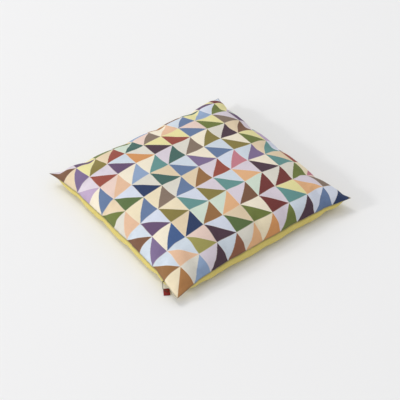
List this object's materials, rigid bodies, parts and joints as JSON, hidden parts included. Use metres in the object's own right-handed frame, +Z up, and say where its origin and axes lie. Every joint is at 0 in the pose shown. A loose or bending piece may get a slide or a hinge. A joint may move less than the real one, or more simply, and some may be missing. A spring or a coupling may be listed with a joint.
{
  "type": "square scatter cushion",
  "caption": "Square filled cushion with a patterned front, a plain back, drawn-in sides, pointed ears and a short pull tab at one seam.",
  "frame": {"origin": "middle of the flat patch on the cushion's back, on which it lies", "axes": "+Z up through the front's crown; X and Y along the four sides; the pull tab is at the -X side, near its -Y end"},
  "size_m": [0.4339, 0.4299, 0.078],
  "materials": {
    "front_cloth": "flat woven patchwork of many colours, matt",
    "back_cloth": "plain weave, golden yellow, matt",
    "pull_cord": "thin twisted cord, dark",
    "pull_tab": "dark red woven tape, folded over, matt"
  },
  "bodies": {
    "root": {"cushion": "front_cloth", "pull_cord": "pull_cord", "pull_tab": "pull_tab"}
  },
  "joints": []
}
